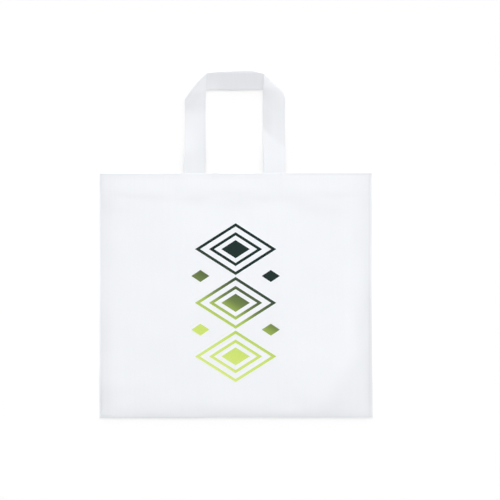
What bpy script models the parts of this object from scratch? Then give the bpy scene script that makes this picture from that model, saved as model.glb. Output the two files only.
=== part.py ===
"""A white film carrier bag with two flat strip handles, lying empty on its back.

The row's frame: +X runs across the bag, +Y from the bottom fold towards the handles, and +Z out of
the front panel. The back panel lies on z = 0, and the origin is under the middle of the outline.
Each piece is built with y = 0 at the bottom fold, and hangs on one empty that centres them.
"""

import math

import bmesh
import bpy
from mathutils import Matrix, Vector

# The body: one film, folded.
BAG_WIDTH = 0.450
BAG_HEIGHT = 0.407
FILM = 0.0006  # stands in for a film of about 0.06 mm
LAYER_GAP = 0.0003  # between two layers that touch on the real bag
GUSSET_DEPTH = 0.050
HEM_DEPTH = 0.040
WELD_WIDTH = 0.0025
WELD_BEAD = 0.0002  # how far the weld stands out past the cut edges
PUFF_HEIGHT = 0.012  # the whole bag where it is thickest
MOUTH_HEIGHT = 0.010
PUFF_DISTANCE = 0.195  # from the bottom fold to where it is thickest
SIDE_POWER = 12  # how squarely the front panel rises from the side welds
BOTTOM_POWER = 6  # how squarely it rises from the bottom fold
LAYER_RAMP = 0.025  # where the side welds go from four layers to two
RAMP_CLEARANCE = 0.003

# The handles: each one strip, folded over at two corners.
STRIP_WIDTH = 0.036
STRIP_FILM = 0.0006
HANDLE_RISE = 0.170
HANDLE_GAP = 0.094
LEG_SPLAY = math.radians(0.9)
LEG_TUCK = 0.034
DROOP_LENGTH = 0.100

# The print: three lozenges in a chain, with small ones beside the links.
PRINT_FILM = 0.0003
PRINT_LINE = 0.0045
LOZENGE_WIDTH = 0.134
LOZENGE_HEIGHT = 0.086
LOZENGE_PITCH = 0.089
RING_STEP = 0.0125  # from one ring's outer side in to the next
CORE_STEP = 0.0110
PRINT_CENTRE = 0.192
DOT_WIDTH = 0.030
DOT_HEIGHT = 0.020
DOT_OFFSET = 0.058

# How finely the curved surfaces are cut.
HALF_COLUMNS = 12
BEND_STEPS = 4
STRIP_STEP = 0.016
PRINT_STEP = 0.015

FILM_WHITE = (0.896, 0.913, 0.947)
INKS = {
    "ink_top": (0.0060, 0.0194, 0.0152),
    "ink_upper": (0.0103, 0.0232, 0.0194),
    "ink_middle": (0.0356, 0.0578, 0.0395),
    "ink_lower": (0.2346, 0.3325, 0.0844),
    "ink_bottom": (0.5029, 0.6584, 0.1746),
}

LAYER_PITCH = FILM + LAYER_GAP
BEND_REACH = (LAYER_PITCH + FILM) / 2  # from a fold's centre to its outer side
STRIP_PITCH = STRIP_FILM + LAYER_GAP
OVERALL_LENGTH = BAG_HEIGHT + HANDLE_RISE


def clear_scene():
    for old in list(bpy.data.objects):
        bpy.data.objects.remove(old, do_unlink=True)


def new_collection(name):
    collection = bpy.data.collections.new(name)
    bpy.context.scene.collection.children.link(collection)
    return collection


def new_material(name, colour, roughness):
    material = bpy.data.materials.new(name)
    material.use_nodes = True
    shader = material.node_tree.nodes["Principled BSDF"]
    shader.inputs["Base Color"].default_value = (*colour, 1)
    shader.inputs["Roughness"].default_value = roughness
    shader.inputs["Metallic"].default_value = 0
    return material


def add_object(name, data, collection, parent, material=None):
    obj = bpy.data.objects.new(name, data)
    collection.objects.link(obj)
    obj.parent = parent
    if material:
        data.materials.append(material)
    return obj


def shade(mesh):
    mesh.shade_smooth()
    mesh.set_sharp_from_angle(angle=math.radians(40))


def smooth_step(t):
    t = min(max(t, 0), 1)
    return t * t * (3 - 2 * t)


def stretch(start, end, steps):
    """The steps from start up to, but not including, end."""
    return [start + (end - start) * i / steps for i in range(steps)]


def level(k):
    """The middle of layer k of a flat stack on the floor, counted from 0."""
    return FILM / 2 + k * LAYER_PITCH


def edge_height(y):
    """The middle of the front panel at the side welds: over three layers at the gusset and hem, else over one."""
    above_gusset = (y - GUSSET_DEPTH - RAMP_CLEARANCE) / LAYER_RAMP
    below_hem = (BAG_HEIGHT - HEM_DEPTH - RAMP_CLEARANCE - y) / LAYER_RAMP
    thin = smooth_step(above_gusset) * smooth_step(below_hem)
    return level(3) + (level(1) - level(3)) * thin


def crest_height(y):
    """The middle of the front panel along the bag's centre line."""
    top = PUFF_HEIGHT - FILM / 2
    if y < PUFF_DISTANCE:
        return level(3) + (top - level(3)) * (1 - (1 - y / PUFF_DISTANCE) ** BOTTOM_POWER)
    mouth = MOUTH_HEIGHT - FILM / 2
    return top + (mouth - top) * ((y - PUFF_DISTANCE) / (BAG_HEIGHT - PUFF_DISTANCE)) ** 2


def front_height(x, y):
    """The middle of the front panel anywhere."""
    y = min(max(y, 0), BAG_HEIGHT)
    across = min(abs(x) / (BAG_WIDTH / 2 - WELD_WIDTH), 1)
    edge = edge_height(y)
    return edge + (crest_height(y) - edge) * (1 - across**SIDE_POWER)


def hem_height(x, y):
    return front_height(x, y) - LAYER_PITCH


def flat(k):
    """A height function for layer k, flat on the floor."""
    return lambda x, y: level(k)


def bend(centre, side, start, end):
    """Rows of a half-round fold about y = centre, bulging to side, from height start to height end."""
    rows = []
    for i in range(BEND_STEPS + 1):
        turn = math.pi * i / BEND_STEPS
        y = centre + side * LAYER_PITCH / 2 * math.sin(turn)

        def height(x, _, turn=turn):
            low, high = start(x, centre), end(x, centre)
            return (low + high) / 2 + (low - high) / 2 * math.cos(turn)

        rows.append((y, height))
    return rows


def panel_rows():
    """Where the front panel is cut across, from the bottom fold up to the hem's free edge."""
    ramp_low = GUSSET_DEPTH + RAMP_CLEARANCE
    ramp_high = BAG_HEIGHT - HEM_DEPTH - RAMP_CLEARANCE
    return [
        *stretch(BEND_REACH, ramp_low, 6)[1:],
        *stretch(ramp_low, ramp_low + LAYER_RAMP, 3),
        *stretch(ramp_low + LAYER_RAMP, ramp_high - LAYER_RAMP, 8),
        *stretch(ramp_high - LAYER_RAMP, ramp_high, 3),
        ramp_high,
    ]


def hem_rows():
    return stretch(BAG_HEIGHT - HEM_DEPTH, BAG_HEIGHT - BEND_REACH, 3)


def film_section():
    """The film from its back hem round to its front hem, as rows of (y, height function)."""
    mouth_fold = BAG_HEIGHT - BEND_REACH
    rows = [(BAG_HEIGHT - HEM_DEPTH, flat(1))]
    rows += bend(mouth_fold, 1, flat(1), flat(0))
    rows += bend(BEND_REACH, -1, flat(0), flat(1))
    rows += bend(GUSSET_DEPTH - BEND_REACH, 1, flat(1), flat(2))
    rows += bend(BEND_REACH, -1, flat(2), flat(3))
    rows += [(y, front_height) for y in panel_rows() + hem_rows()]
    rows += bend(mouth_fold, 1, front_height, hem_height)
    rows += [(y, hem_height) for y in reversed(hem_rows())]
    return rows


def half_columns():
    """Places across half the bag, closer together near the side weld, and none on the weld's own faces."""
    weld = (BAG_WIDTH - WELD_WIDTH) / 2
    inside = [weld * math.sin(math.pi / 2 * i / HALF_COLUMNS) for i in range(HALF_COLUMNS + 1)]
    return [*inside, BAG_WIDTH / 2 - WELD_BEAD]


def lofted(name, columns, rows):
    """An open surface through every (column, row), which no one profile could sweep."""
    mesh = bpy.data.meshes.new(name)
    points = [(x, y, height(x, y)) for y, height in rows for x in columns]
    wide = len(columns)
    faces = []
    for r in range(len(rows) - 1):
        for c in range(wide - 1):
            corner = r * wide + c
            faces.append((corner, corner + 1, corner + 1 + wide, corner + wide))
    mesh.from_pydata(points, [], faces)
    return mesh


def add_mirror(obj):
    mirror = obj.modifiers.new("both sides", "MIRROR")
    mirror.use_axis = (True, False, False)
    mirror.merge_threshold = 0.00001


def add_thickness(obj, thickness):
    solidify = obj.modifiers.new("film", "SOLIDIFY")
    solidify.thickness = thickness
    solidify.offset = 0
    solidify.use_even_offset = True


def outlined(name, outlines, thickness, turned=Matrix.Identity(4)):
    """A flat solid from closed outlines in its own XY plane, as a mesh."""
    curve = bpy.data.curves.new(name, "CURVE")
    curve.dimensions = "2D"
    curve.fill_mode = "BOTH"
    curve.extrude = thickness / 2
    for outline in outlines:
        spline = curve.splines.new("POLY")
        spline.points.add(len(outline) - 1)
        spline.use_cyclic_u = True
        for point, place in zip(spline.points, outline):
            point.co = (*place, 0, 1)
    guide = bpy.data.objects.new(name, curve)
    bpy.context.scene.collection.objects.link(guide)
    graph = bpy.context.evaluated_depsgraph_get()
    mesh = bpy.data.meshes.new_from_object(guide.evaluated_get(graph))
    bpy.data.objects.remove(guide, do_unlink=True)
    bm = bmesh.new()
    bm.from_mesh(mesh)
    bmesh.ops.remove_doubles(bm, verts=bm.verts, dist=0.000001)
    bm.transform(turned)
    bm.to_mesh(mesh)
    bm.free()
    return mesh


def weld_outline():
    """The side weld seen from the side: from the middle of the back panel to the middle of the front panel."""
    inset = FILM / 2
    along = [inset, *panel_rows(), *hem_rows(), BAG_HEIGHT - inset]
    return [(y, edge_height(y)) for y in along] + [(along[-1], level(0)), (along[0], level(0))]


def make_body(collection, joiners, parent, material):
    mesh = lofted("bag_body", half_columns(), film_section())
    body = add_object("bag_body", mesh, collection, parent, material)
    shade(mesh)
    add_mirror(body)
    add_thickness(body, FILM)
    upright = Matrix.Rotation(math.pi / 2, 4, "Z") @ Matrix.Rotation(math.pi / 2, 4, "X")
    for side, word in ((-1, "left"), (1, "right")):
        strip = outlined(f"weld_{word}", [weld_outline()], WELD_WIDTH, upright)
        weld = add_object(f"weld_{word}", strip, joiners, parent)
        weld.location.x = side * (BAG_WIDTH - WELD_WIDTH) / 2
        weld.hide_render = True
        weld.display_type = "WIRE"
        join = body.modifiers.new(f"weld {word}", "BOOLEAN")
        join.operation = "UNION"
        join.solver = "EXACT"
        join.object = weld


def fold_over(point, start, normal):
    """Where a point of the flat strip goes when all past the line through start is folded onto the front."""
    past = (point - start).dot(normal)
    if past <= 0:
        return Vector((*point, 0))
    on_line = point - past * normal
    radius = STRIP_PITCH / 2
    turn = min(past / radius, math.pi)
    beyond = past - turn * radius
    place = on_line + normal * (radius * math.sin(turn) - beyond)
    return Vector((*place, radius * (1 - math.cos(turn))))


def folded_strip(name, height):
    """Half a handle: the bar, one corner fold and one leg. height(x, y) is where the bar's layer lies."""
    top = OVERALL_LENGTH
    angle = math.pi / 4 - LEG_SPLAY / 2
    start = Vector((HANDLE_GAP / 2, top))
    normal = Vector((math.sin(angle), math.cos(angle)))
    corner = HANDLE_GAP / 2 + STRIP_WIDTH / 2 / math.tan(angle)
    leg = (top - STRIP_WIDTH / 2 - (BAG_HEIGHT - LEG_TUCK)) / math.cos(LEG_SPLAY)
    half_length = corner + leg + math.pi * STRIP_PITCH / 2
    bm = bmesh.new()
    steps = round(half_length / STRIP_STEP)
    sized = Matrix.Diagonal((half_length, STRIP_WIDTH, 1, 1))
    placed = Matrix.Translation((half_length / 2, top - STRIP_WIDTH / 2, 0))
    bmesh.ops.create_grid(bm, x_segments=steps, y_segments=2, size=0.5, matrix=placed @ sized)
    for i in range(BEND_STEPS + 1):
        place = start + normal * (math.pi * STRIP_PITCH / 2 * i / BEND_STEPS)
        everything = [*bm.verts, *bm.edges, *bm.faces]
        bmesh.ops.bisect_plane(bm, geom=everything, dist=1e-7, plane_co=(*place, 0), plane_no=(*normal, 0))
    for vert in bm.verts:
        folded = fold_over(vert.co.xy, start, normal)
        vert.co = folded + Vector((0, 0, height(folded.x, folded.y)))
    mesh = bpy.data.meshes.new(name)
    bm.to_mesh(mesh)
    bm.free()
    return mesh


def drooping(at_mouth, at_rest, y):
    """From its height in the mouth down to where its far end rests."""
    return at_mouth + (at_rest - at_mouth) * smooth_step((y - BAG_HEIGHT) / DROOP_LENGTH)


def back_strip_height(x, y):
    in_mouth = level(1) + FILM / 2 + LAYER_GAP + STRIP_FILM / 2 - STRIP_PITCH
    return drooping(in_mouth, STRIP_FILM / 2, y)


def front_strip_height(x, y):
    in_mouth = hem_height(x, y) - FILM / 2 - LAYER_GAP - STRIP_FILM / 2 - STRIP_PITCH
    return drooping(in_mouth, STRIP_FILM / 2 + 2 * STRIP_PITCH, y)


def make_handles(collection, parent, material):
    for name, height in (("back_handle", back_strip_height), ("front_handle", front_strip_height)):
        mesh = folded_strip(name, height)
        handle = add_object(name, mesh, collection, parent, material)
        shade(mesh)
        add_mirror(handle)
        add_thickness(handle, STRIP_FILM)


def lozenge(x, y, width, height, inset=0):
    """The corners of a lozenge whose sides lie inset inside one of this width and height."""
    slant = math.hypot(width, height)
    half_width = width / 2 - inset * slant / height
    half_height = height / 2 - inset * slant / width
    return [(x + half_width, y), (x, y + half_height), (x - half_width, y), (x, y - half_height)]


def cut_along(bm, axis, low, high):
    """Cuts the mesh across one axis, at most PRINT_STEP apart, so that it can follow the panel."""
    steps = math.ceil((high - low) / PRINT_STEP)
    for place in stretch(low, high, steps)[1:]:
        everything = [*bm.verts, *bm.edges, *bm.faces]
        bmesh.ops.bisect_plane(bm, geom=everything, dist=1e-7, plane_co=axis * place, plane_no=axis)


def add_print(name, outlines, collection, parent, material):
    """A field of ink laid on the front panel."""
    mesh = outlined(name, outlines, PRINT_FILM)
    bm = bmesh.new()
    bm.from_mesh(mesh)
    cut_along(bm, Vector((1, 0, 0)), min(p[0] for p in outlines[0]), max(p[0] for p in outlines[0]))
    cut_along(bm, Vector((0, 1, 0)), min(p[1] for p in outlines[0]), max(p[1] for p in outlines[0]))
    lift = FILM / 2 + LAYER_GAP + PRINT_FILM / 2
    for vert in bm.verts:
        vert.co.z += front_height(vert.co.x, vert.co.y) + lift
    bm.to_mesh(mesh)
    bm.free()
    add_object(name, mesh, collection, parent, material)


def make_print(collection, parent, inks):
    for row, word in ((1, "top"), (0, "middle"), (-1, "bottom")):
        y = PRINT_CENTRE + row * LOZENGE_PITCH
        ink = inks[f"ink_{word}"]
        outlines = {
            "outer_ring": [0, PRINT_LINE],
            "inner_ring": [RING_STEP, RING_STEP + PRINT_LINE],
            "core": [RING_STEP + CORE_STEP],
        }
        for part, insets in outlines.items():
            corners = [lozenge(0, y, LOZENGE_WIDTH, LOZENGE_HEIGHT, inset) for inset in insets]
            add_print(f"print_{word}_{part}", corners, collection, parent, ink)
    for row, word in ((0.5, "upper"), (-0.5, "lower")):
        for side, hand in ((-1, "left"), (1, "right")):
            y = PRINT_CENTRE + row * LOZENGE_PITCH
            corners = [lozenge(side * DOT_OFFSET, y, DOT_WIDTH, DOT_HEIGHT)]
            add_print(f"print_dot_{word}_{hand}", corners, collection, parent, inks[f"ink_{word}"])


def main():
    clear_scene()
    pieces = new_collection("carrier_bag")
    joiners = new_collection("joiners")
    centre = bpy.data.objects.new("bag_centre", None)
    pieces.objects.link(centre)
    centre.location.y = -OVERALL_LENGTH / 2
    film = new_material("film", FILM_WHITE, 0.5)
    inks = {name: new_material(name, colour, 0.45) for name, colour in INKS.items()}
    make_body(pieces, joiners, centre, film)
    make_handles(pieces, centre, film)
    make_print(pieces, centre, inks)


main()
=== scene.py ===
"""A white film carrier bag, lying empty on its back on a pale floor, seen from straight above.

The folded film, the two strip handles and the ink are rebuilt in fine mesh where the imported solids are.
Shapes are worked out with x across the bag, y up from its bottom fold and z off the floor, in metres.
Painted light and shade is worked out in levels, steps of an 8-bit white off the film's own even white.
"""

import math

import bpy
import numpy as np
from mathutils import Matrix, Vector


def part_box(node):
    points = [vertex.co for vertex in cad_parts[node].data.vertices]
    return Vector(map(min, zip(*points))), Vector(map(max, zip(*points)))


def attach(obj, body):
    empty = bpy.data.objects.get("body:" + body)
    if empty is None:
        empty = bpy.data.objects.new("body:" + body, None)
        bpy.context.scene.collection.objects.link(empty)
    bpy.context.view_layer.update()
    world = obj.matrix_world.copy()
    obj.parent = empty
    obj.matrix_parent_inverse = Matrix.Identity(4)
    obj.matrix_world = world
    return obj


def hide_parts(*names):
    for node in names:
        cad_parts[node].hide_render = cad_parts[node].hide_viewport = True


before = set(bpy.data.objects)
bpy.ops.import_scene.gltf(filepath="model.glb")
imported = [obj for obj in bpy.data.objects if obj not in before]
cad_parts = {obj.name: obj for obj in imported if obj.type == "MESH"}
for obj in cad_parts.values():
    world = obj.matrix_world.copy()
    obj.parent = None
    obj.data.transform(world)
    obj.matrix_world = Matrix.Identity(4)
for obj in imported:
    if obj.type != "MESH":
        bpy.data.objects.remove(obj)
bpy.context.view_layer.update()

# Steps, bells and waves, which the values and shapes below are made from.


def smooth(t):
    """A smooth step from 0 to 1 as t goes from 0 to 1."""
    t = np.clip(t, 0, 1)
    return t * t * (3 - 2 * t)


def ease(start, end):
    """A smooth step by place: 0 at start and 1 at end, on whichever side of start it lies."""
    return lambda place: smooth((place - start) / (end - start))


def between(rise, full, fall, end):
    """A smooth step up from rise to full, and down again from fall to end."""
    return lambda place: ease(rise, full)(place) * ease(end, fall)(place)


def bell(middle, reach):
    """A bell by place: 1 in the middle, and about a third at reach on both sides."""
    return lambda place: np.exp(-(((place - middle) / reach) ** 2))


def always(place):
    """The same at every place."""
    return 1


def waves(x, y, seed, count, longest, shortest):
    """A soft unevenness of about unit size: plane waves in all directions."""
    draw = np.random.RandomState(seed)
    total = 0
    for _ in range(count):
        turn, phase = draw.uniform(0, 2 * math.pi, 2)
        number = 2 * math.pi / draw.uniform(shortest, longest)
        total = total + np.sin(number * (x * math.cos(turn) + y * math.sin(turn)) + phase)
    return total / math.sqrt(count / 2)


def ramp(t):
    """The running sum of smooth: it starts gently and goes on straight."""
    t = np.clip(t, 0, None)
    inside = np.minimum(t, 1)
    return inside**3 - inside**4 / 2 + t - inside


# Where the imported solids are.
BODY_LOW, BODY_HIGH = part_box("bag_body")
FOLD_Y = BODY_LOW.y
HALF_WIDTH = (BODY_HIGH.x - BODY_LOW.x) / 2
HEIGHT = BODY_HIGH.y - BODY_LOW.y

# The photograph, in its own pixels.
PHOTO_SIDE = 500
PIXEL = 0.00166  # metres on the bag
MIDDLE_PX = 235.6  # the body's centre line
FOLD_PX = 418.4  # the bottom fold

# The film and its layers.
FILM = 0.0002
LAYER = 0.00045  # from one layer of the folded film to the next
WELD_LAYER = 0.00023  # the same where they are welded
WELD_WIDTH = 0.0025
WELD_EASE = 0.007  # where the layers come together beside the weld
WELD = HALF_WIDTH - WELD_WIDTH  # the weld's inner side, off the centre line
GUSSET_DEPTH = 0.050
HEM_DEPTH = 0.040
LAYER_RAMP = 0.025  # how far the panel's edge takes to come down past the gusset and the hem
RAMP_CLEARANCE = 0.003

# The front panel's crown.
PUFF_HEIGHT = 0.012
PUFF_DISTANCE = 0.195  # from the bottom fold up to its highest place
MOUTH_HEIGHT = 0.0068
SIDE_POWER = 6  # how squarely it comes down at the sides
BOTTOM_RISE = 0.0034  # how much of it rises close to the bottom fold
BOTTOM_REACH = 0.022
BOTTOM_LIP = 0.0010
BOTTOM_LIP_REACH = 0.0060

# The lip where the panel leaves a weld.
WELD_LIP = 0.0007
WELD_LIP_REACH = 0.0012  # how sharply it stands up
WELD_LIP_FADE = 0.030  # and how far into the panel it fades out
WELD_LIP_LEFT = 0.55  # the left one's share of it, and what is added to that towards the bottom
WELD_LIP_LEFT_LOW = 0.9
WELD_LIP_LOW_REACH = 0.060
WELD_LIP_START = 0.006  # both lips begin this far above the bottom fold

# The hem at the mouth, and the step where its edge shows through the front panel.
MOUTH_BEAD = 0.00038
MOUTH_BEAD_REACH = 0.0032
MOUTH_BEAD_LOSS = 0.85  # the share that is missing over the strips' legs
LEG_AT = 0.066  # where the legs enter the mouth, off the centre line
LEG_REACH = 0.024
LEG_POWER = 6
HEM_STEP = 0.00035
HEM_STEP_REACH = 0.010
HEM_STEP_SHARE = 0.75  # the step is broken: it has this share of its height on average,
HEM_STEP_SWING = 0.7  # more or less by this,
HEM_STEP_MOST = 1.6  # and never more than this
HEM_EDGE_SWAY = 0.002

# How far the outline lies off the even pattern.
WIDER_LEFT = 0.0010  # each side lies further out
WIDER_RIGHT = 0.0013
FLARE_LEFT = 0.0005  # and spreads towards its bottom corner
FLARE_RIGHT = 0.0021
FLARE_LEFT_POWER = 6
FLARE_RIGHT_POWER = 5.3
FOLD_INSIDE = 0.0004  # the bottom fold lies inside the pattern, further on the right
FOLD_INSIDE_RIGHT = 0.0007
FOLD_POWER = 6
MOUTH_LOWER = 0.0005  # the mouth lies lower on the left, and higher at its right end
MOUTH_HIGHER = 0.0004
MOUTH_POWER = 8
SIDE_SWAY = 0.00022
SIDE_SWAY_POWER = 6
MOUTH_SWAY = 0.00018
FOLD_RIGHT_PART = ease(-0.085, -0.025)
MOUTH_LEFT_PART = ease(0.090, 0.040)
MOUTH_RIGHT_END = ease(0.090, 0.130)

# Unevenness made of waves: a seed, how many, and the longest and the shortest wavelength.
LONG_WAVES = (3, 16, 0.150, 0.050)
SHORT_WAVES = (5, 16, 0.040, 0.022)
SIDE_WAVES = (11, 5, 0.20, 0.05)
MOUTH_WAVES = (12, 5, 0.25, 0.06)
HEM_EDGE_WAVES = (21, 5, 0.20, 0.06)
HEM_STEP_WAVES = (22, 6, 0.11, 0.03)

# The front panel's unevenness and its dents: photo pixel, long and wide reach, turn in degrees, height.
LONG_WAVE_HEIGHT = 0.00016
SHORT_WAVE_HEIGHT = 0.00005
RELIEF_SIDE = 0.015  # it fades out this close to the welds and to the bottom fold
RELIEF_FOLD = 0.012
DENTS = [
    (112, 424, 30, 20, -40, -0.0006),  # the bottom left corner
    (205, 416, 75, 8, 0, -0.0003),  # above the bottom fold
    (366, 322, 8, 6, 90, -0.0004),  # one at each side
    (108, 326, 8, 6, 90, -0.0004),
    (330, 212, 26, 7, -22, -0.0005),  # under the hem
    (240, 202, 90, 7, 0, -0.0003),
]

# How finely the film is cut: counts of rows and columns, and the lengths that get more of them.
BEND_STEPS = 6
LOW_ROWS = 26
LOW_LENGTH = 0.030
LOW_ROWS_POWER = 1.5
MIDDLE_ROWS = 96
HEM_ROWS = 18
MOUTH_ROWS = 14
MOUTH_LENGTH = 0.012
HIDDEN_ROWS = 10
BACK_ROWS = 40
COLUMNS = 62
COLUMNS_POWER = 1.9
WELD_COLUMNS = 4
CUT_ANGLE = math.radians(60)  # edges sharper than this are cut edges

# The strips.
STRIP_FILM = 0.0002
STRIP_LAYER = 0.00045
LEG_LAYER = 0.9 * LAYER  # from a hem to the leg that is welded on it
DROOP_LENGTH = 0.085
CURL_START = 0.536  # from here up the handle curls off the floor
CURL_EASE = 0.038
CURL_SLOPE = 0.21
ROLL_START = 0.5715  # and here its top edge rolls over
ROLL_EASE = 0.0055
ROLL_SLOPE = 0.27
BAR_LIP_Y = 0.5450  # the bar's lower edge turns down
BAR_LIP = 0.00035
BAR_LIP_REACH = 0.0032
BAR_LIP_PX = between(208, 213, 256, 262)
STRIP_COLUMNS = 41
LEG_ROWS = 110
LEG_ROWS_POWER = 1.8
BAR_ROWS = 60

# A fold's height, how far it is rounded, how it eases off, and how much of all that its lower end loses.
LEFT_FOLD = (0.0014, 0.0010, 0.020, 0.0)
RIGHT_FOLD = (0.0032, 0.0130, 0.022, 0.88)
BACK_FOLD = (0.0003, 0.0010, 0.020, 0.0)

# The strips' corners and edges in photo pixels: a leg's from its end up, and the bar's from left to right.
LEFT_CORNER = [(206.7, 73.2), (202.6, 77.0), (196.1, 84.0), (190.2, 91.8), (184.9, 100.0)]
RIGHT_CORNER = [(263.9, 74.0), (270.6, 80.2), (276.9, 86.0), (281.9, 91.2), (285.0, 98.0)]
LEFT_INNER = [(205.3, 194.0), (205.4, 172.0), (205.6, 135.0), (205.6, 100.0), (206.7, 73.2)]
LEFT_OUTER = [(183.0, 194.0), (183.6, 172.0), (184.9, 138.0), (184.9, 112.0), (184.9, 100.0)]
RIGHT_INNER = [(264.2, 194.0), (263.8, 172.0), (263.0, 135.0), (262.8, 100.0), (263.9, 74.0)]
RIGHT_OUTER = [(286.0, 194.0), (285.6, 172.0), (285.0, 138.0), (284.8, 112.0), (285.0, 98.0)]
BAR_TOP = [(206.7, 73.2), (220.0, 72.0), (235.0, 71.3), (250.0, 70.9), (263.9, 74.0)]
BAR_BOTTOM = [(184.9, 100.0), (206.0, 90.2), (235.0, 89.9), (263.0, 89.9), (285.0, 98.0)]

# The ink.
INK_LIFT = 0.00003
INK_FILM = 0.00004
PRINT_LINE = 0.0045
LOZENGE_WIDTH = 0.134
LOZENGE_HEIGHT = 0.086
LOZENGE_PITCH = 0.089
RING_STEP = 0.0125  # from the outer ring in to the inner one
CORE_STEP = 0.0110  # and from that one in to the core
PRINT_CENTRE = 0.192  # up from the bottom fold
DOT_WIDTH = 0.030
DOT_HEIGHT = 0.020
DOT_OFFSET = 0.058
RING_SIDE_CUTS = 28
RING_LINE_POINTS = 4
CORE_CUTS = 24
DOT_CUTS = 10


def from_photo(points):
    """Photo pixels to (x, y) on the bag."""
    points = np.asarray(points, float)
    return np.stack([(points[..., 0] - MIDDLE_PX) * PIXEL, (FOLD_PX - points[..., 1]) * PIXEL], -1)


def photo_place(x, y):
    """The photo pixel of a place on the bag."""
    return x / PIXEL + MIDDLE_PX, FOLD_PX - y / PIXEL


def spot(x, y, px, py, long_px, wide_px, turn):
    """A soft oval around a photo pixel, 1 at its middle. turn is its long axis's angle in degrees."""
    (cx, cy), angle = from_photo((px, py)), math.radians(turn)
    along = (x - cx) * math.cos(angle) + (y - cy) * math.sin(angle)
    across = (y - cy) * math.cos(angle) - (x - cx) * math.sin(angle)
    return np.exp(-((along / (long_px * PIXEL)) ** 2) - (across / (wide_px * PIXEL)) ** 2)


def spots(x, y, rows):
    """Soft ovals together, each a row of what spot takes and how much it adds."""
    return sum(amount * spot(x, y, *place) for *place, amount in rows)


# The film's heights.


def layer_pitch(x):
    """From one layer to the next, less in the welds."""
    return WELD_LAYER + (LAYER - WELD_LAYER) * smooth((WELD - np.abs(x)) / WELD_EASE)


def level(k):
    """A height function for the middle of layer k of the flat stack on the floor."""
    return lambda x, y: FILM / 2 + k * layer_pitch(x)


def edge_height(x, y):
    """The front panel's height at its sides: the top of four layers at the gusset and hem, else of two."""
    above_gusset = (y - GUSSET_DEPTH - RAMP_CLEARANCE) / LAYER_RAMP
    below_hem = (HEIGHT - HEM_DEPTH - RAMP_CLEARANCE - y) / LAYER_RAMP
    thin = smooth(above_gusset) * smooth(below_hem)
    return FILM / 2 + (3 - 2 * thin) * layer_pitch(x)


def crest_height(y):
    """The front panel's height along the bag's centre line."""
    low, top, mouth = FILM / 2 + 3 * LAYER, PUFF_HEIGHT - FILM, MOUTH_HEIGHT - FILM
    slow = np.sin(math.pi / 2 * np.clip(y / PUFF_DISTANCE, 0, 1))
    fast = BOTTOM_RISE * (1 - np.exp(-y / BOTTOM_REACH)) + BOTTOM_LIP * (1 - np.exp(-y / BOTTOM_LIP_REACH))
    rising = low + fast + (top - low - BOTTOM_RISE - BOTTOM_LIP) * slow
    falling = top + (mouth - top) * (np.clip(y - PUFF_DISTANCE, 0, 1) / (HEIGHT - PUFF_DISTANCE)) ** 2
    return np.where(y < PUFF_DISTANCE, rising, falling)


def relief(x, y):
    """The front panel's own dents and unevenness, off its even crown."""
    total = LONG_WAVE_HEIGHT * waves(x, y, *LONG_WAVES) + SHORT_WAVE_HEIGHT * waves(x, y, *SHORT_WAVES)
    total = total + spots(x, y, DENTS)
    return total * smooth((WELD - np.abs(x)) / RELIEF_SIDE) * smooth(y / RELIEF_FOLD)


def hem_step(x, y):
    """The faint, broken step where the hem's edge shows through the front panel."""
    edge = HEIGHT - HEM_DEPTH + HEM_EDGE_SWAY * waves(x, 0 * x, *HEM_EDGE_WAVES)
    share = HEM_STEP_SHARE + HEM_STEP_SWING * waves(x, 0 * x, *HEM_STEP_WAVES)
    return HEM_STEP * np.clip(share, 0, HEM_STEP_MOST) * smooth((y - edge) / HEM_STEP_REACH + 0.5)


def over_legs(x):
    """1 where the strips' legs enter the mouth, and 0 away from them."""
    return np.exp(-(((np.abs(x) - LEG_AT) / LEG_REACH) ** LEG_POWER))


def mouth_bead(x, y):
    """The hem's own fold stands up a little, but not over the legs."""
    share = 1 - MOUTH_BEAD_LOSS * over_legs(x)
    return MOUTH_BEAD * share * smooth((y - HEIGHT) / MOUTH_BEAD_REACH + 1)


def weld_lip(x, y, inside):
    """How the front panel stands up beside a weld, by how far inside it a place is."""
    left = WELD_LIP_LEFT + WELD_LIP_LEFT_LOW * np.exp(-y / WELD_LIP_LOW_REACH)
    lip = WELD_LIP * np.where(x < 0, left, 1) * np.exp(-inside / WELD_LIP_FADE)
    return lip * (1 - np.exp(-inside / WELD_LIP_REACH)) * smooth(y / WELD_LIP_START)


def front_height(x, y):
    """The height of the front panel's film."""
    y = np.clip(y, 0, HEIGHT)
    inside = np.maximum(WELD - np.abs(x), 0)
    across = 1 - inside / WELD
    edge = edge_height(x, y)
    crown = edge + (crest_height(y) - edge) * (1 - across**SIDE_POWER)
    return crown + weld_lip(x, y, inside) + hem_step(x, y) + mouth_bead(x, y) + relief(x, y)


def hem_height(x, y):
    """The height of the front hem, a layer under the panel."""
    return front_height(x, y) - layer_pitch(x)


def lying(x, y):
    """Where a point of the even pattern lies on the real, slightly uneven outline."""
    share, up = x / HALF_WIDTH, np.clip(y / HEIGHT, 0, 1)
    left = WIDER_LEFT + FLARE_LEFT * (1 - up) ** FLARE_LEFT_POWER
    right = WIDER_RIGHT + FLARE_RIGHT * (1 - up) ** FLARE_RIGHT_POWER
    sway = SIDE_SWAY * share**SIDE_SWAY_POWER * np.sign(x) * waves(y, 0 * y, *SIDE_WAVES)
    wide = x + share * np.where(x < 0, left, right) + sway
    fold = FOLD_INSIDE + FOLD_INSIDE_RIGHT * FOLD_RIGHT_PART(x)
    mouth = MOUTH_SWAY * waves(x, 0 * x, *MOUTH_WAVES)
    mouth = mouth - MOUTH_LOWER * MOUTH_LEFT_PART(x) + MOUTH_HIGHER * MOUTH_RIGHT_END(x)
    high = y + fold * (1 - up) ** FOLD_POWER + mouth * up**MOUTH_POWER
    return wide, high


# Meshes.


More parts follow.
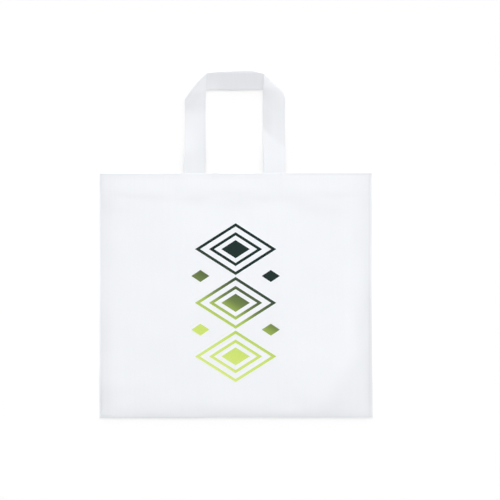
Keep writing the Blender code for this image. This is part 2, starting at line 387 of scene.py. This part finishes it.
def lofted(name, rows):
    """A mesh through rows of points, each row an array of (x, y, z)."""
    rows = np.asarray(rows, float)
    count, wide = rows.shape[:2]
    first = (np.arange(count - 1)[:, None] * wide + np.arange(wide - 1)[None, :]).ravel()
    faces = np.stack([first, first + 1, first + 1 + wide, first + wide], -1)
    points = rows.reshape(-1, 3) + (0, FOLD_Y, 0)
    mesh = bpy.data.meshes.new(name)
    mesh.from_pydata(points.tolist(), [], faces.tolist())
    mesh.shade_smooth()
    return mesh


def paint_light_and_shade(mesh, tone):
    """Keeps each point's painted light and shade on the mesh, as a share of its material's colour."""
    places = np.array([v.co for v in mesh.vertices])
    # the tone attribute carries painted light and shade, not the film's own colour
    shades = mesh.attributes.new("tone", "FLOAT", "POINT")
    shades.data.foreach_set("value", 1 + TONE_STEP * tone(places[:, 0], places[:, 1] - FOLD_Y))


def add_piece(name, mesh, thickness, materials):
    """A thin solid around the mesh's surface, round over its folds and sharp at its cut edges."""
    obj = bpy.data.objects.new(name, mesh)
    bpy.context.scene.collection.objects.link(obj)
    for material in materials:
        mesh.materials.append(material)
    solid = obj.modifiers.new("film", "SOLIDIFY")
    solid.thickness = thickness
    solid.offset = 0
    solid.use_even_offset = True
    solid.material_offset = len(materials) - 1
    graph = bpy.context.evaluated_depsgraph_get()
    obj.data = bpy.data.meshes.new_from_object(obj.evaluated_get(graph))
    obj.modifiers.clear()
    obj.data.name = name
    obj.data.set_sharp_from_angle(angle=CUT_ANGLE)
    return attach(obj, "root")


def half_round(centre, side, low, high):
    """Rows of a half-round fold about y = centre, bulging to side, from one height function to another."""
    rows = []
    for turn in np.linspace(0, math.pi, BEND_STEPS + 1):
        def place(x, turn=turn):
            reach = layer_pitch(x) / 2
            start, end = low(x, centre), high(x, centre)
            z = (start + end) / 2 + (start - end) / 2 * math.cos(turn)
            return centre + side * reach * math.sin(turn), z
        rows.append(place)
    return rows


def level_row(y, height):
    """A row straight across the bag."""
    return lambda x: (y + 0 * x, height(x, y))


def panel_places():
    """Where the front panel is cut across, closer together near its bottom fold, hem and mouth."""
    reach = LAYER / 2
    low = reach + LOW_LENGTH * np.linspace(0, 1, LOW_ROWS) ** LOW_ROWS_POWER
    middle = np.linspace(low[-1], HEIGHT - HEM_DEPTH - MOUTH_LENGTH, MIDDLE_ROWS)
    hem = np.linspace(middle[-1], HEIGHT - MOUTH_LENGTH, HEM_ROWS)
    mouth = hem[-1] + (MOUTH_LENGTH - reach) * np.linspace(0, 1, MOUTH_ROWS)
    return np.concatenate([low, middle[1:], hem[1:], mouth[1:]])


def film_rows():
    """The film's rows, from the back hem's edge round all its folds to the front hem's edge."""
    fold, mouth = LAYER / 2, HEIGHT - LAYER / 2
    hem = np.linspace(HEIGHT - HEM_DEPTH, mouth, HIDDEN_ROWS)
    back = np.linspace(mouth, fold, BACK_ROWS)
    gusset = np.linspace(fold, GUSSET_DEPTH - fold, HIDDEN_ROWS)
    rows = [level_row(y, level(1)) for y in hem[:-1]]
    rows += half_round(mouth, 1, level(1), level(0))
    rows += [level_row(y, level(0)) for y in back[1:-1]]
    rows += half_round(fold, -1, level(0), level(1))
    rows += [level_row(y, level(1)) for y in gusset[1:-1]]
    rows += half_round(gusset[-1], 1, level(1), level(2))
    rows += [level_row(y, level(2)) for y in gusset[-2:0:-1]]
    rows += half_round(fold, -1, level(2), level(3))
    rows += [level_row(y, front_height) for y in panel_places()[1:-1]]
    rows += half_round(mouth, 1, front_height, hem_height)
    rows += [level_row(y, hem_height) for y in hem[-2::-1]]
    return rows


def film_columns():
    """Places across the bag, closest together at the welds."""
    inner = WELD * (1 - (1 - np.linspace(0, 1, COLUMNS)) ** COLUMNS_POWER)
    half = np.concatenate([inner, WELD + WELD_WIDTH * np.linspace(0, 1, WELD_COLUMNS)[1:]])
    return np.concatenate([-half[:0:-1], half])


def make_film(material):
    x = film_columns()
    rows = []
    for row in film_rows():
        y, z = row(x)
        rows.append(np.stack([*lying(x, y), z], -1))
    mesh = lofted("bag_film", rows)
    paint_light_and_shade(mesh, film_painted_light_and_shade)
    film = add_piece("bag_film", mesh, FILM, [material])
    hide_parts("bag_body")


# The strips.


def through(points, places):
    """A smooth line through these points, as a Catmull-Rom spline, at places from 0 to 1 along it."""
    points = np.asarray(points, float)
    padded = np.concatenate([[2 * points[0] - points[1]], points, [2 * points[-1] - points[-2]]])
    places = np.asarray(places) * (len(points) - 1)
    span = np.minimum(places.astype(int), len(points) - 2)
    t = (places - span)[:, None]
    a, b, c, d = (padded[span + i] for i in range(4))
    bend, twist = 2 * a - 5 * b + 4 * c - d, 3 * b - a - 3 * c + d
    return 0.5 * (2 * b + (c - a) * t + bend * t**2 + twist * t**3)


def patch(start, end, near, far, places):
    """Rows at these places between the rows start and end, whose ends are joined by near and far."""
    s = np.asarray(places)[:, None, None]
    t = np.linspace(0, 1, len(start))[None, :, None]
    ruled = (1 - s) * start[None] + s * end[None] + (1 - t) * near[:, None] + t * far[:, None]
    corners = (1 - s) * ((1 - t) * start[0] + t * start[-1]) + s * ((1 - t) * end[0] + t * end[-1])
    return ruled - corners


def corner_line(corner):
    """The line of a corner's fold, from the bar's top to the leg's outer side."""
    return from_photo(through(corner, np.linspace(0, 1, STRIP_COLUMNS)))


def edge_line(points, places, first, last):
    """An edge through these photo pixels, moved a little so that it runs from first to last."""
    line = from_photo(through(points, places))
    s = places[:, None]
    near = 0 if first is None else first - line[0]
    return line + (1 - s) * near + s * (last - line[-1])


def strip_curl(y):
    """How the top of the handle lifts off the floor."""
    tilt = CURL_SLOPE * CURL_EASE * ramp((y - CURL_START) / CURL_EASE)
    return tilt - ROLL_SLOPE * ROLL_EASE * ramp((y - ROLL_START) / ROLL_EASE)


def bar_lip(x, y):
    """How far the bar stands above its lower edge, which turns down to the floor between the legs."""
    px, _ = photo_place(x, y)
    return BAR_LIP * BAR_LIP_PX(px) * smooth((y - BAR_LIP_Y) / BAR_LIP_REACH)


def drooping(in_mouth, at_rest, y):
    """A height that goes from the mouth's to the floor's, and up again with the curl."""
    return in_mouth + (at_rest - in_mouth) * smooth((y - HEIGHT) / DROOP_LENGTH) + strip_curl(y)


def back_strip(x, y):
    """The height of the back strip's lower layer, where its legs lie on the back hem."""
    return drooping(FILM / 2 + LAYER + LEG_LAYER - STRIP_LAYER, STRIP_FILM / 2, y)


def front_strip(x, y):
    """The height of the front strip's lower layer, where its legs hang under the front hem."""
    in_mouth = hem_height(x, y) - LEG_LAYER - STRIP_LAYER
    return drooping(in_mouth, STRIP_FILM / 2 + 2 * STRIP_LAYER, y)


def off_line(points, line):
    """How far each point is from a line."""
    gaps = points[..., None, :] - line
    return np.sqrt((gaps**2).sum(-1).min(-1))


def fold_height(distance, along, thick, reach, ease_off, loss):
    """How far a soft fold holds its upper layer up, by the distance from its edge and place along it."""
    left = 1 - loss * along
    rounded = np.sqrt(1 - (1 - np.clip(distance / (reach * left), 0, 1)) ** 2)
    return thick * left * rounded * (1 - smooth((distance - reach * left) / ease_off))


def corner_bend(edge, outward, height):
    """A corner's fold: its edge, moved in by the fold's radius, and the rows round it from the bar up."""
    radius = STRIP_LAYER / 2
    slope = np.gradient(edge, axis=0)
    normal = np.stack([slope[:, 1], -slope[:, 0]], -1) * outward
    normal = normal / np.linalg.norm(normal, axis=1)[:, None]
    inner = edge - normal * radius
    rows = []
    for turn in np.linspace(0, math.pi, BEND_STEPS + 1):
        flat = inner + normal * (radius * math.sin(turn))
        z = height(inner[:, 0], inner[:, 1]) + radius * (1 - math.cos(turn))
        rows.append(np.column_stack([flat, z]))
    return inner, rows


def leg_rows(inner, outer, corner, height, fold):
    """A leg's rows, from its end in the mouth up to the inner side of its corner."""
    across = np.linspace(0, 1, STRIP_COLUMNS)
    places = 1 - np.linspace(1, 0, LEG_ROWS) ** LEG_ROWS_POWER
    inner = edge_line(inner, places, None, corner[0])
    outer = edge_line(outer, places, None, corner[-1])
    end = inner[0] + (outer[0] - inner[0]) * across[:, None]
    flat = patch(end, corner, inner, outer, places)
    z = height(flat[..., 0], flat[..., 1]) + STRIP_LAYER
    z = z + fold_height(off_line(flat, corner), across, *fold)
    return list(np.concatenate([flat, z[..., None]], -1))


def bar_rows(left, right, height):
    """The bar's rows, from the left corner to the right one."""
    places = np.linspace(0, 1, BAR_ROWS)
    top = edge_line(BAR_TOP, places, left[0], right[0])
    bottom = edge_line(BAR_BOTTOM, places, left[-1], right[-1])
    flat = patch(left, right, top, bottom, places)
    z = height(flat[..., 0], flat[..., 1]) + bar_lip(flat[..., 0], flat[..., 1])
    return list(np.concatenate([flat, z[..., None]], -1))


def strip_rows(height, left_fold, right_fold):
    """The whole strip, from the left leg's end over the bar to the right leg's end."""
    left, left_bend = corner_bend(corner_line(LEFT_CORNER), -1, height)
    right, right_bend = corner_bend(corner_line(RIGHT_CORNER), 1, height)
    rows = leg_rows(LEFT_INNER, LEFT_OUTER, left, height, left_fold)[:-1] + left_bend[::-1]
    rows += bar_rows(left, right, height)[1:-1]
    return rows + right_bend + leg_rows(RIGHT_INNER, RIGHT_OUTER, right, height, right_fold)[-2::-1]


def make_strip(name, node, height, left_fold, right_fold, materials):
    mesh = lofted(name, strip_rows(height, left_fold, right_fold))
    paint_light_and_shade(mesh, strip_painted_light_and_shade)
    strip = add_piece(name, mesh, STRIP_FILM, materials)
    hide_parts(node)


# The film's painted light and shade. A row of a table says how many levels it adds, and where across the
# bag and up it.

TONE_STEP = 0.0087  # one level, as a share of the film's colour

# painted shade along the welds and on the panel beside them
WELD_PAINTED_SHADE = [  # in metres
    (-8.0, bell(-0.2252, 0.0026), bell(0.030, 0.045)),  # the left weld near the bottom
    (-5.0, bell(-0.2252, 0.0026), ease(0.370, 0.390)),  # and at the mouth
    (-4.0, bell(0.2252, 0.0030), ease(0.220, 0.170)),  # the right weld's lower part
    (-3.5, bell(0.2222, 0.0014), always),  # a line along its inner side
    (-1.5, bell(-0.2235, 0.026), always),  # the panel beside the left weld
    (-1.4, bell(0.2250, 0.024), always),  # and beside the right one
]
FOLD_PAINTED_SHADE = [  # from here on in photo pixels
    (-4.0, always, bell(418.2, 1.1)),  # a narrow painted shade along the bottom fold
    (-5.0, ease(225, 205), bell(418.2, 1.1)),  # which is stronger on the left
]
# painted shade along the mouth's fold
MOUTH_PAINTED_SHADE = [
    (-3.0, between(112, 132, 270, 300), bell(176.8, 2.4)),  # soft on the left
    (-3.8, ease(270, 300), bell(174.1, 1.1)),  # and narrow on the right
]
MOUTH_PAINTED_SHADE_LOSS = 0.5  # the share that is missing over the legs, which have a line of their own
OVER_LEG_PAINTED_SHADE = [(-4.0, always, bell(173.0, 0.8))]

# The slanting crease above the bottom right corner, with painted shade beyond it.
CREASE_ACROSS = 0.908  # the way straight across it, to the right and down
CREASE_DOWN = 0.420
CREASE_PLACE = 457  # how far along that way it lies
CREASE_LEAN_FROM = 372  # from this pixel up it leans over to the right
CREASE_LEAN = 0.35
CREASE_WIDTH = 23
CREASE_PAINTED_SHADE = -5.0
CREASE_PALER = ease(399, 411)  # the shade beyond it is paler near the bottom fold
CREASE_PALER_SHARE = 0.35

# Painted light and shade in soft ovals, over dents and creases: photo pixel, long and wide reach, turn in
# degrees, levels.
PAINTED_LIGHT_AND_SHADE_SPOTS = [
    # painted light on the lower part
    (235, 396, 115, 22, 0, 2.3),
    (320, 350, 40, 40, 0, 2.5),
    (290, 409, 12, 5, 0, 3.0),
    # the left side and its bottom corner
    (114, 300, 70, 8, 90, 1.0),
    (103, 198, 54, 14, 90, -3.0),
    (103, 342, 34, 7, 90, -5.0),
    (103, 400, 24, 12, 90, -9.0),
    (138, 402, 20, 14, 0, -1.0),
    (130, 390, 16, 6, 0, -1.8),
    # the right side and its bottom corner
    (350, 290, 90, 10, 90, 1.5),
    (368, 232, 72, 6, 90, -2.8),
    (356, 237, 14, 6, 90, -1.6),
    (362, 325, 22, 8, 90, -4.0),
    (369, 312, 30, 4, 90, -5.0),
    (369, 385, 30, 4, 90, -5.0),
    (360, 416, 10, 2.5, 0, 3.0),
    # above the bottom fold
    (235, 411, 140, 6, 0, -1.5),
    (150, 415, 50, 3, 0, -2.5),
    (252, 415, 34, 3.2, 0, -3.0),
    (322, 414, 20, 3.4, 4, -3.5),
    (332, 404, 26, 5, 0, -1.6),
    # under the mouth
    (318, 211, 30, 8, -22, -4.0),
    (156, 197, 14, 5, 0, -3.5),
    (152, 226, 46, 26, 90, -1.8),
    (198, 201, 9, 6, 0, -2.2),
    (236, 203, 22, 7, 0, -3.0),
    (232, 193, 26, 3.5, 0, -2.3),
    (264, 199, 7, 4, 0, -1.5),
]

# The strip's painted light and shade, all in photo pixels.
LEFT_LEG_PAINTED_LIGHT_AND_SHADE = [
    (-8.5, always, between(87, 95, 103, 120)),  # the shade under the corner
    (5.0, always, ease(87, 79)),  # the corner itself catches the light
    (-2.0, always, ease(146, 156)),  # painted shade on the foot
    (-1.0, bell(203.8, 1.3), ease(112, 122)),  # painted shade along the inner edge
]
LEFT_LEG_PAINTED_SPOTS = [(204, 147, 22, 9, 90, -6.0), (188, 159, 9, 7, 90, -3.0)]
LEFT_EDGE_PAINTED_SHADE = -6.0  # a painted dark line along the corner's fold
LEFT_EDGE_LINE = bell(0.6, 1)
RIGHT_BEND_PX = 264  # a slanting bend goes through this pixel, and down to the right
RIGHT_BEND_PY = 129.5
RIGHT_BEND_SLOPE = 0.875
RIGHT_BEND_ACROSS = ease(-3, 3)  # how softly the shade begins, by the distance from the bend
BELOW_BEND_PAINTED_LIGHT = 0.4
# painted shade above the bend
ABOVE_BEND_PAINTED_SHADE = [
    (-5.5, always, always),
    (-4.5, ease(274, 267), ease(92, 112)),  # its inner side
]
RIGHT_LEG_TOP = ease(84, 91)  # the corner itself has no shade
RIGHT_LEG_PAINTED_SPOTS = [(281, 107, 8, 7, 90, 1.5), (274, 146, 12, 6, -30, -1.5)]
# painted light over the bar, and painted shade towards its lower edge
BAR_PAINTED_LIGHT_AND_SHADE = [
    (1.0, always, always),
    (-4.5, ease(212, 226), ease(76, 86)),  # painted shade towards its lower edge
]
BAR_PAINTED_SPOTS = [(210, 79, 6, 8, 0, 2.5)]
BAR_ACROSS = between(205.5, 206.5, 262.5, 263.5)  # where the bar shows
BAR_UP = ease(93, 91)


def tones(across, up, rows):
    """A table's tones together, at these places across and up."""
    return sum(amount * by_side(across) * by_height(up) for amount, by_side, by_height in rows)


def mouth_painted_shade(x, y):
    """Painted shade: the mouth's fold is darker, and less so over the legs."""
    px, py = photo_place(x, y)
    over = over_legs(x)
    fold = tones(px, py, MOUTH_PAINTED_SHADE) * (1 - MOUTH_PAINTED_SHADE_LOSS * over)
    return fold + tones(px, py, OVER_LEG_PAINTED_SHADE) * over


def corner_painted_shade(x, y):
    """Painted shade where the bottom right corner turns away from the light beyond a slanting crease."""
    px, py = photo_place(x, y)
    beyond = CREASE_ACROSS * px + CREASE_DOWN * py - CREASE_PLACE
    beyond = beyond - CREASE_LEAN * np.maximum(CREASE_LEAN_FROM - py, 0)
    return CREASE_PAINTED_SHADE * smooth(beyond / CREASE_WIDTH) * (1 - CREASE_PALER_SHARE * CREASE_PALER(py))


def film_painted_light_and_shade(x, y):
    """The painted light and shade of the whole film, in levels."""
    edges = tones(x, y, WELD_PAINTED_SHADE) + tones(*photo_place(x, y), FOLD_PAINTED_SHADE) + mouth_painted_shade(x, y)
    return edges + corner_painted_shade(x, y) + spots(x, y, PAINTED_LIGHT_AND_SHADE_SPOTS)


# painted light and shade on the left leg
def left_leg_painted_light_and_shade(x, y):
    off_edge = off_line(np.stack([x, y], -1), corner_line(LEFT_CORNER)) / PIXEL
    leg = tones(*photo_place(x, y), LEFT_LEG_PAINTED_LIGHT_AND_SHADE) + spots(x, y, LEFT_LEG_PAINTED_SPOTS)
    return leg + LEFT_EDGE_PAINTED_SHADE * LEFT_EDGE_LINE(off_edge)


def right_leg_painted_light_and_shade(x, y):
    """Painted shade: the right leg is darker above its slanting bend."""
    px, py = photo_place(x, y)
    above = RIGHT_BEND_PY + RIGHT_BEND_SLOPE * (px - RIGHT_BEND_PX) - py
    above = RIGHT_BEND_ACROSS(above / math.hypot(1, RIGHT_BEND_SLOPE))
    leg = BELOW_BEND_PAINTED_LIGHT + tones(px, py, ABOVE_BEND_PAINTED_SHADE) * above
    return leg * RIGHT_LEG_TOP(py) + spots(x, y, RIGHT_LEG_PAINTED_SPOTS)


def bar_painted_light_and_shade(x, y):
    return tones(*photo_place(x, y), BAR_PAINTED_LIGHT_AND_SHADE) + spots(x, y, BAR_PAINTED_SPOTS)


def strip_painted_light_and_shade(x, y):
    """The painted light and shade of the whole strip, in levels, for its soft bends and the layers beneath
    it.
    """
    px, py = photo_place(x, y)
    legs = np.where(x < 0, left_leg_painted_light_and_shade(x, y), right_leg_painted_light_and_shade(x, y))
    on_bar = BAR_ACROSS(px) * BAR_UP(py)
    return legs * (1 - on_bar) + bar_painted_light_and_shade(x, y) * on_bar


# The ink.


def lozenge(y, width, height, inset=0, x=0):
    """The corners of a lozenge whose sides lie inset inside one of this width and height."""
    slant = math.hypot(width, height)
    half_width = width / 2 - inset * slant / height
    half_height = height / 2 - inset * slant / width
    return np.array([(x + half_width, y), (x, y + half_height), (x - half_width, y), (x, y - half_height)])


def on_panel(flat):
    """Points of the even pattern, lifted onto the front panel."""
    x, y = flat[..., 0], flat[..., 1]
    z = front_height(x, y) + FILM / 2 + INK_LIFT + INK_FILM / 2
    return np.stack([*lying(x, y), z], -1)


def ring_rows(outside, inside):
    """Rows across a ring's line, all the way round."""
    rows = []
    for i in range(4):
        for s in np.linspace(0, 1, RING_SIDE_CUTS, endpoint=False):
            a = outside[i] + (outside[(i + 1) % 4] - outside[i]) * s
            b = inside[i] + (inside[(i + 1) % 4] - inside[i]) * s
            rows.append(a + (b - a) * np.linspace(0, 1, RING_LINE_POINTS)[:, None])
    return rows + rows[:1]


def field_rows(corners, cuts):
    """Rows that fill a lozenge."""
    t = np.linspace(0, 1, cuts + 1)[:, None]
    first = corners[0] + (corners[1] - corners[0]) * t
    last = corners[3] + (corners[2] - corners[3]) * t
    return [first + (last - first) * s for s in np.linspace(0, 1, cuts + 1)]


def add_ink(node, rows, material):
    mesh = lofted(f"ink_{node}", [on_panel(np.asarray(row)) for row in rows])
    ink = add_piece(f"ink_{node}", mesh, INK_FILM, [material])
    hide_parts(node)


def make_print(material):
    """Three lozenges of two rings and a core, in a chain, with four small ones beside the links."""
    for row, word in ((1, "top"), (0, "middle"), (-1, "bottom")):
        y = PRINT_CENTRE + row * LOZENGE_PITCH
        size = (y, LOZENGE_WIDTH, LOZENGE_HEIGHT)
        for part, inset in (("outer_ring", 0), ("inner_ring", RING_STEP)):
            ring = ring_rows(lozenge(*size, inset), lozenge(*size, inset + PRINT_LINE))
            add_ink(f"print_{word}_{part}", ring, material)
        core = field_rows(lozenge(*size, RING_STEP + CORE_STEP), CORE_CUTS)
        add_ink(f"print_{word}_core", core, material)
    for row, word in ((0.5, "upper"), (-0.5, "lower")):
        for side, hand in ((-1, "left"), (1, "right")):
            y = PRINT_CENTRE + row * LOZENGE_PITCH
            dot = field_rows(lozenge(y, DOT_WIDTH, DOT_HEIGHT, x=side * DOT_OFFSET), DOT_CUTS)
            add_ink(f"print_dot_{word}_{hand}", dot, material)


# Materials.

# The film: its darkest and lightest colour, and its roughness.
FRONT_FILM = ((0.876, 0.893, 0.927), (0.916, 0.933, 0.967), 0.60)
STRIP_OUTSIDE = ((0.857, 0.874, 0.907), (0.896, 0.913, 0.946), 0.58)
# the strip's reverse side, greyer, and partly painted shade of the bar that tilts away from the light
STRIP_REVERSE_AND_SHADE = ((0.798, 0.813, 0.846), (0.834, 0.849, 0.883), 0.62)
FILM_SPECULAR = 0.14
ROUGHNESS_SPREAD = 0.06

# The film's streaks, clouds and grain have a scale and a detail each, and its bumps a strength and a depth.
STREAK_STRETCH = (260, 9, 40)
STREAK_NOISE = (1, 4)
CLOUD_NOISE = (14, 3)
GRAIN_NOISE = (900, 3)
STREAK_BUMP = (0.40, 0.0002)
GRAIN_BUMP = (0.5, 0.0001)

# The ink's colours down the bag, by height above the fold, and how far a colour's line slants.
INK_TOP_Y = 0.330
INK_BOTTOM_Y = 0.055
INK_SLANT = 0.60
INK_STOPS = [
    (0.00, (0.0030, 0.0190, 0.0150)),
    (0.27, (0.0035, 0.0190, 0.0150)),
    (0.36, (0.0330, 0.0620, 0.0340)),
    (0.50, (0.1550, 0.2200, 0.0620)),
    (0.60, (0.4000, 0.5500, 0.1000)),
    (0.74, (0.6050, 0.7600, 0.1550)),
    (1.00, (0.7100, 0.8400, 0.2350)),
]
INK_ROUGHNESS = 0.42
INK_SPECULAR = 0.06
INK_NOISE = (700, 4)
INK_WEAR = (0.90, 1.10)
INK_BUMP = (0.15, 0.0001)


def new_material(name):
    material = bpy.data.materials.new(name)
    material.use_nodes = True
    nodes = material.node_tree.nodes
    return material, nodes, material.node_tree.links, nodes["Principled BSDF"]


def add_math(nodes, links, operation, *values):
    """A maths node. Each value is a number or another node's output."""
    node = nodes.new("ShaderNodeMath")
    node.operation = operation
    for socket, value in zip(node.inputs, values):
        if isinstance(value, bpy.types.NodeSocket):
            links.new(value, socket)
        else:
            socket.default_value = value
    return node.outputs[0]


def add_noise(nodes, links, place, scale, detail):
    noise = nodes.new("ShaderNodeTexNoise")
    noise.inputs["Scale"].default_value = scale
    noise.inputs["Detail"].default_value = detail
    links.new(place, noise.inputs["Vector"])
    return noise.outputs["Fac"]


def add_range(nodes, links, value, low, high):
    """A value from 0 to 1, spread from low to high."""
    spread = nodes.new("ShaderNodeMapRange")
    spread.inputs["To Min"].default_value = low
    spread.inputs["To Max"].default_value = high
    links.new(value, spread.inputs["Value"])
    return spread.outputs["Result"]


def add_scaled(nodes, links, colour, factor):
    """A colour times a factor."""
    scaled = nodes.new("ShaderNodeVectorMath")
    scaled.operation = "SCALE"
    links.new(colour, scaled.inputs["Vector"])
    links.new(factor, scaled.inputs["Scale"])
    return scaled.outputs["Vector"]


def add_bump(nodes, links, height, strength, depth):
    bump = nodes.new("ShaderNodeBump")
    bump.inputs["Strength"].default_value = strength
    bump.inputs["Distance"].default_value = depth
    links.new(height, bump.inputs["Height"])
    return bump


def film_material(name, low, high, roughness):
    """Blown film: faint streaks along its length, a fine grain, and a soft unevenness of tone, times the
    painted light and shade kept on the mesh's points.
    """
    material, nodes, links, shader = new_material(name)
    place = nodes.new("ShaderNodeTexCoord").outputs["Object"]
    stretch = nodes.new("ShaderNodeMapping")
    stretch.inputs["Scale"].default_value = STREAK_STRETCH
    links.new(place, stretch.inputs["Vector"])
    streak = add_noise(nodes, links, stretch.outputs["Vector"], *STREAK_NOISE)
    cloud = add_noise(nodes, links, place, *CLOUD_NOISE)
    grain = add_noise(nodes, links, place, *GRAIN_NOISE)
    half_cloud = add_math(nodes, links, "MULTIPLY", cloud, 0.5)
    tone = nodes.new("ShaderNodeMix")
    tone.data_type = "RGBA"
    tone.inputs["A"].default_value = (*low, 1)
    tone.inputs["B"].default_value = (*high, 1)
    links.new(add_math(nodes, links, "MULTIPLY_ADD", streak, 0.5, half_cloud), tone.inputs["Factor"])
    # painted light and shade, kept on the mesh's points as the tone attribute
    painted_light_and_shade = nodes.new("ShaderNodeAttribute")
    painted_light_and_shade.attribute_name = "tone"
    colour = add_scaled(nodes, links, tone.outputs["Result"], painted_light_and_shade.outputs["Fac"])
    links.new(colour, shader.inputs["Base Color"])
    rough = add_range(nodes, links, cloud, roughness - ROUGHNESS_SPREAD, roughness + ROUGHNESS_SPREAD)
    links.new(rough, shader.inputs["Roughness"])
    shader.inputs["Specular IOR Level"].default_value = FILM_SPECULAR
    coarse = add_bump(nodes, links, streak, *STREAK_BUMP)
    fine = add_bump(nodes, links, grain, *GRAIN_BUMP)
    links.new(coarse.outputs["Normal"], fine.inputs["Normal"])
    links.new(fine.outputs["Normal"], shader.inputs["Normal"])
    return material


def add_ink_stops(nodes, links, place):
    """The ink's colour, by a place up the bag."""
    down = nodes.new("ShaderNodeMapRange")
    down.inputs["From Min"].default_value = INK_TOP_Y + FOLD_Y
    down.inputs["From Max"].default_value = INK_BOTTOM_Y + FOLD_Y
    links.new(place, down.inputs["Value"])
    colours = nodes.new("ShaderNodeValToRGB")
    stops = colours.color_ramp.elements
    while len(stops) < len(INK_STOPS):
        stops.new(0.5)
    for stop, (position, colour) in zip(stops, INK_STOPS):
        stop.position = position
        stop.color = (*colour, 1)
    links.new(down.outputs["Result"], colours.inputs["Fac"])
    return colours.outputs["Color"]


def ink_material():
    """Printing ink that turns from dark green to lime down the bag, laid a little unevenly."""
    material, nodes, links, shader = new_material("ink")
    place = nodes.new("ShaderNodeTexCoord").outputs["Object"]
    parts = nodes.new("ShaderNodeSeparateXYZ")
    links.new(place, parts.inputs["Vector"])
    slanted = add_math(nodes, links, "MULTIPLY_ADD", parts.outputs["X"], INK_SLANT, parts.outputs["Y"])
    grain = add_noise(nodes, links, place, *INK_NOISE)
    worn = add_range(nodes, links, grain, *INK_WEAR)
    colour = add_scaled(nodes, links, add_ink_stops(nodes, links, slanted), worn)
    links.new(colour, shader.inputs["Base Color"])
    shader.inputs["Roughness"].default_value = INK_ROUGHNESS
    shader.inputs["Specular IOR Level"].default_value = INK_SPECULAR
    bump = add_bump(nodes, links, grain, *INK_BUMP)
    links.new(bump.outputs["Normal"], shader.inputs["Normal"])
    return material


# The studio.

DOME = 0.31
FLOOR_WHITE = 0.98
FLOOR_LIFT = 0.033  # added to the lit floor where it is seen, so that it reads as white
FLOOR_HALF = 4.0
FLOOR_Z = -0.0002
# A light's tilt off the vertical, to x and to y, its spread in degrees, and what it adds on level ground.
KEY_LIGHT = (0.22, 2.10, 50, 0.21)
OVERHEAD_LIGHT = (0, 0, 16, 0.470)
LIGHT_DISTANCE = 3
LENS = 120
SENSOR = 36
SCALE_Z = 0.006  # the height off the floor at which a photo pixel is PIXEL wide
CLIP_END = 50


def seen(nodes, links, strength):
    """That strength where the camera, gloss or glass looks, and else none."""
    path = nodes.new("ShaderNodeLightPath").outputs
    glossy = add_math(nodes, links, "MAXIMUM", path["Is Camera Ray"], path["Is Glossy Ray"])
    either = add_math(nodes, links, "MAXIMUM", glossy, path["Is Transmission Ray"])
    return add_math(nodes, links, "MULTIPLY", either, strength)


def floor_material():
    material = bpy.data.materials.new("floor")
    material.use_nodes = True
    nodes, links = material.node_tree.nodes, material.node_tree.links
    nodes.clear()
    lit = nodes.new("ShaderNodeBsdfDiffuse")
    lit.inputs["Color"].default_value = (FLOOR_WHITE, FLOOR_WHITE, FLOOR_WHITE, 1)
    lift = nodes.new("ShaderNodeEmission")
    links.new(seen(nodes, links, FLOOR_LIFT), lift.inputs["Strength"])
    both = nodes.new("ShaderNodeAddShader")
    links.new(lit.outputs[0], both.inputs[0])
    links.new(lift.outputs[0], both.inputs[1])
    out = nodes.new("ShaderNodeOutputMaterial")
    links.new(both.outputs[0], out.inputs["Surface"])
    return material


def make_floor():
    mesh = bpy.data.meshes.new("floor")
    corners = [(x * FLOOR_HALF, y * FLOOR_HALF, FLOOR_Z) for x, y in ((-1, -1), (1, -1), (1, 1), (-1, 1))]
    mesh.from_pydata(corners, [], [(0, 1, 2, 3)])
    mesh.materials.append(floor_material())
    floor = bpy.data.objects.new("floor", mesh)
    bpy.context.scene.collection.objects.link(floor)


def make_world():
    """An even dome of light, which looks white."""
    world = bpy.data.worlds.new("studio")
    bpy.context.scene.world = world
    world.use_nodes = True
    nodes, links = world.node_tree.nodes, world.node_tree.links
    nodes.clear()
    dome = nodes.new("ShaderNodeBackground")
    dome.inputs["Color"].default_value = (1, 1, 1, 1)
    dome.inputs["Strength"].default_value = DOME
    white = nodes.new("ShaderNodeBackground")
    mix = nodes.new("ShaderNodeMixShader")
    links.new(seen(nodes, links, 1), mix.inputs["Fac"])
    links.new(dome.outputs[0], mix.inputs[1])
    links.new(white.outputs[0], mix.inputs[2])
    out = nodes.new("ShaderNodeOutputWorld")
    links.new(mix.outputs[0], out.inputs["Surface"])


def add_soft_light(name, from_x, from_y, spread, share):
    """A wide, even light."""
    lamp = bpy.data.lights.new(name, "SUN")
    lamp.angle = math.radians(spread)
    towards = Vector((from_x, from_y, 1)).normalized()
    lamp.energy = share * math.pi / towards.z
    light = bpy.data.objects.new(name, lamp)
    bpy.context.scene.collection.objects.link(light)
    light.rotation_euler = towards.to_track_quat("Z", "Y").to_euler()
    light.location = towards * LIGHT_DISTANCE


def make_camera():
    """Straight above, so that the photo's own frame is seen."""
    data = bpy.data.cameras.new("camera")
    data.type = "PERSP"
    data.lens = LENS
    data.sensor_width = SENSOR
    data.clip_end = CLIP_END
    camera = bpy.data.objects.new("camera", data)
    bpy.context.scene.collection.objects.link(camera)
    x, y = from_photo((PHOTO_SIDE / 2, PHOTO_SIDE / 2))
    camera.location = (x, y + FOLD_Y, PHOTO_SIDE * PIXEL * LENS / SENSOR + SCALE_Z)
    bpy.context.scene.camera = camera


def main():
    white = film_material("film", *FRONT_FILM)
    outside = film_material("strip", *STRIP_OUTSIDE)
    inside = film_material("strip_inner_and_shade", *STRIP_REVERSE_AND_SHADE)
    make_film(white)
    make_floor()
    make_strip("front_strip", "front_handle", front_strip, LEFT_FOLD, RIGHT_FOLD, [inside, outside])
    make_strip("back_strip", "back_handle", back_strip, BACK_FOLD, BACK_FOLD, [inside, outside])
    make_print(ink_material())
    make_world()
    add_soft_light("key", *KEY_LIGHT)
    add_soft_light("overhead", *OVERHEAD_LIGHT)
    make_camera()
    bpy.context.scene.view_settings.view_transform = "Standard"


main()
